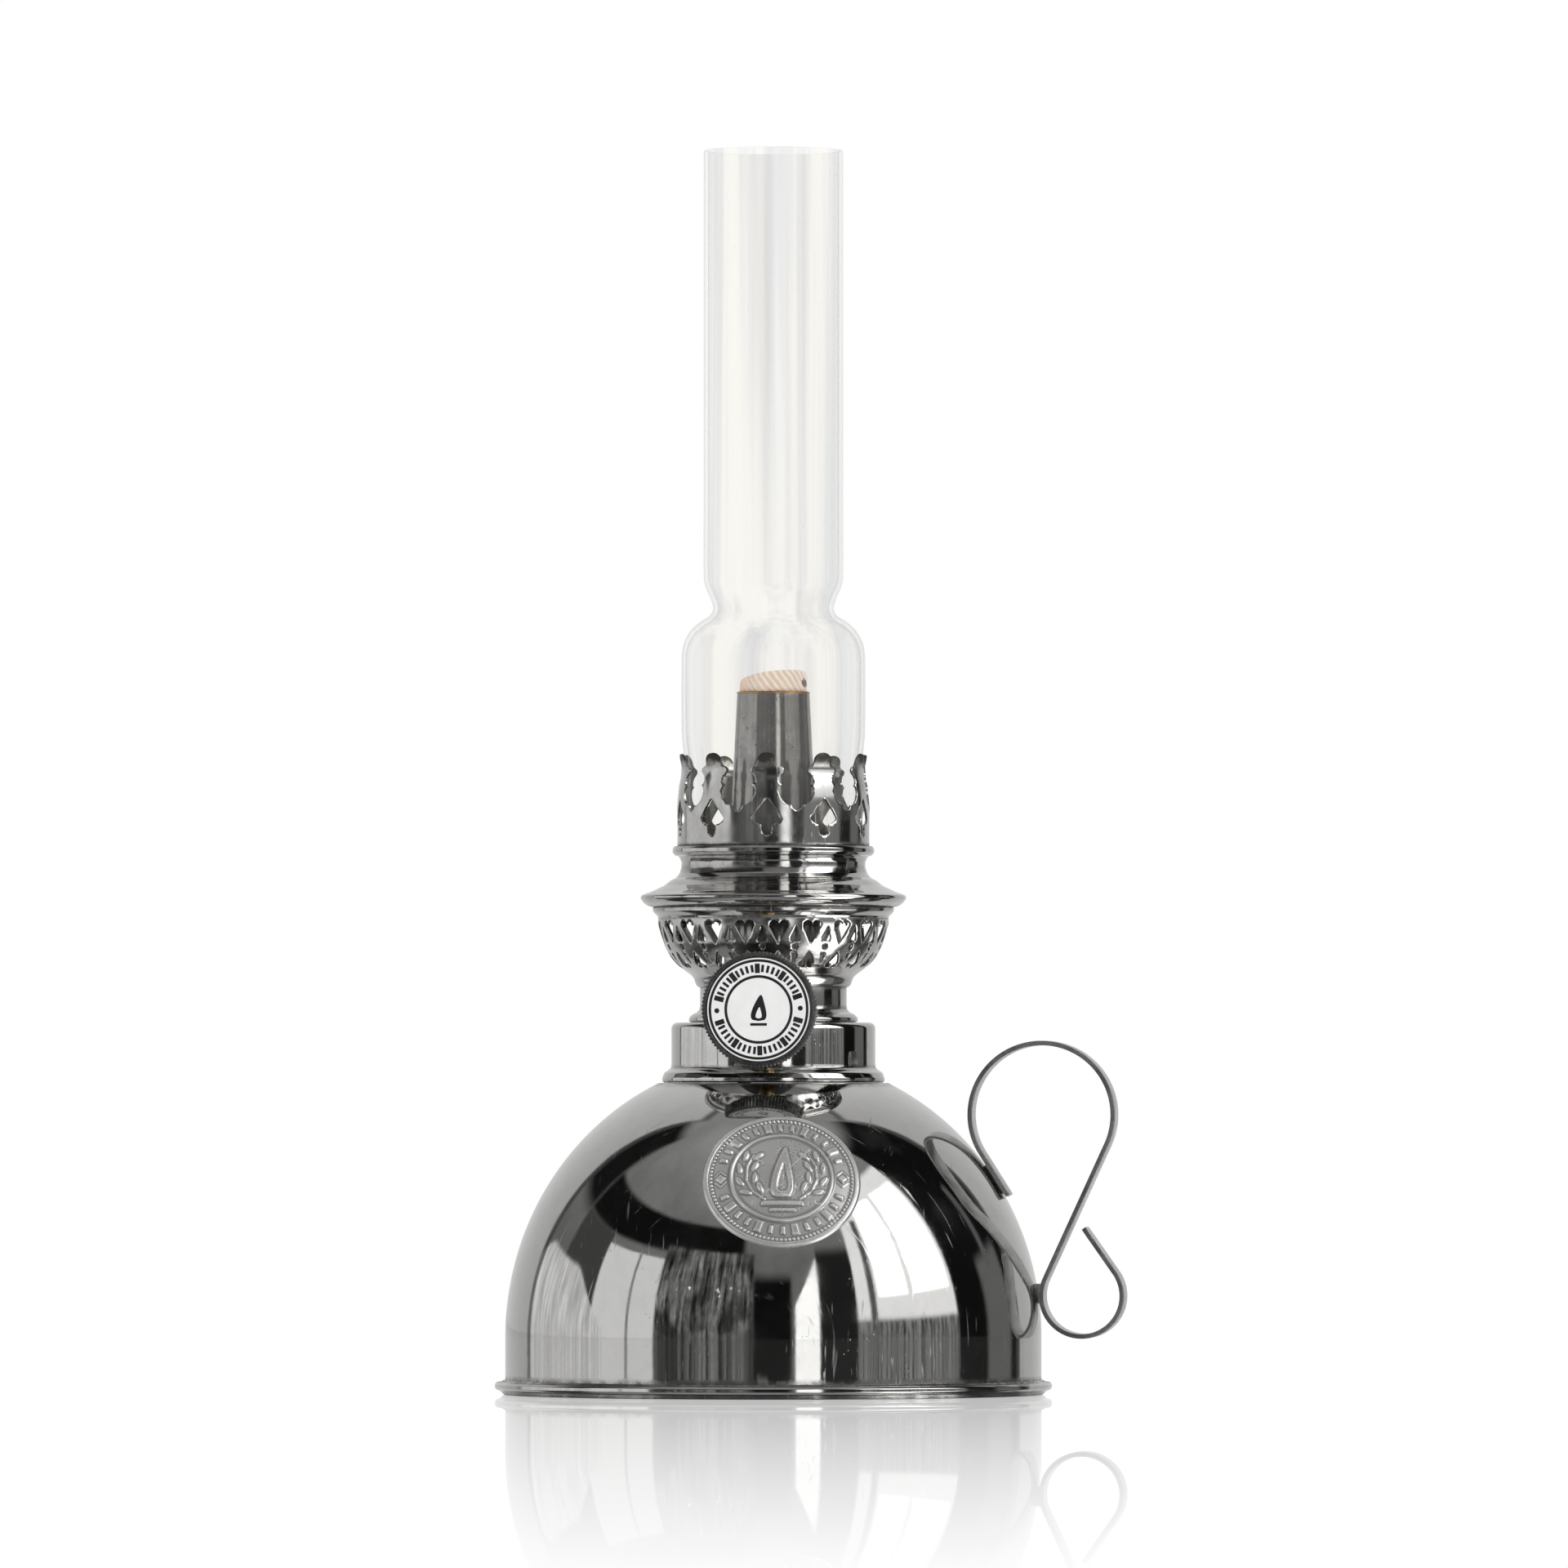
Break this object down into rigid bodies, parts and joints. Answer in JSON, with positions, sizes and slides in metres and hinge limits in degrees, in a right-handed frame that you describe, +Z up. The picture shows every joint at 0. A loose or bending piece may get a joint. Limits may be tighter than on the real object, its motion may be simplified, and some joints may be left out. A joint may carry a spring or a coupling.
{
  "type": "paraffin hand lamp",
  "caption": "Small nickel-plated paraffin hand lamp with a hemispherical font, round-wick burner, pronged gallery, tall glass chimney and S-shaped strap handle.",
  "frame": {"origin": "on the lamp's axis, at the plane of the base ring that it stands on", "axes": "+Z up along the lamp's axis, +X towards the strap handle, -Y towards the wick knob"},
  "size_m": [0.1214, 0.107, 0.2392],
  "materials": {
    "nickel": "polished nickel plate on brass",
    "nickel_satin": "lightly worn nickel plate on brass",
    "tube_metal": "dull grey plated brass with small dark pits",
    "brass": "dull brass",
    "solder": "dull soft solder",
    "steel": "plain steel wire",
    "knob_rim": "dark milled nickel",
    "knob_face": "glossy white with a black printed ring pattern",
    "wick": "unbleached cotton twill",
    "glass": "clear blown glass"
  },
  "bodies": {
    "font": {"base_pan": "nickel", "dome_shell": "nickel", "font_collar": "nickel", "emblem_plate": "nickel", "handle_strap": "nickel", "handle_solder_upper": "solder", "handle_solder_lower": "solder"},
    "burner": {"burner_base": "nickel", "air_basket": "nickel", "basket_rim": "nickel", "gallery_cover": "nickel", "gallery_crown": "nickel_satin", "wick_tube": "tube_metal", "draft_tube": "tube_metal", "draft_duct": "tube_metal", "tube_floor": "tube_metal", "raiser_bracket": "brass", "spindle_ferrule": "brass"},
    "knob": {"knob_spindle": "brass", "star_wheel_front": "brass", "star_wheel_rear": "brass", "spindle_clip": "steel", "knob_hub": "brass", "knob_cup": "knob_rim", "knob_face": "knob_face"},
    "wick": {"wick": "wick"},
    "chimney": {"chimney_glass": "glass"}
  },
  "joints": [
    {"name": "burner_lift", "type": "slide", "parent": "font", "child": "burner", "axis": [0, 0, 1], "range_m": [0, 0.075]},
    {"name": "wick_knob", "type": "hinge", "parent": "burner", "child": "knob", "pos_m": [0, -0.0155, 0.0738], "axis": [0, 1, 0], "range_deg": [-59.6, 71.6]},
    {"name": "wick_slide", "type": "slide", "parent": "burner", "child": "wick", "axis": [0, 0, 1], "range_m": [-0.005, 0.006]},
    {"name": "chimney_lift", "type": "slide", "parent": "burner", "child": "chimney", "axis": [0, 0, 1], "range_m": [0, 0.05]}
  ],
  "couplings": [
    {"joint": "wick_slide", "follows": "wick_knob", "m_per_rad": 0.0048}
  ]
}
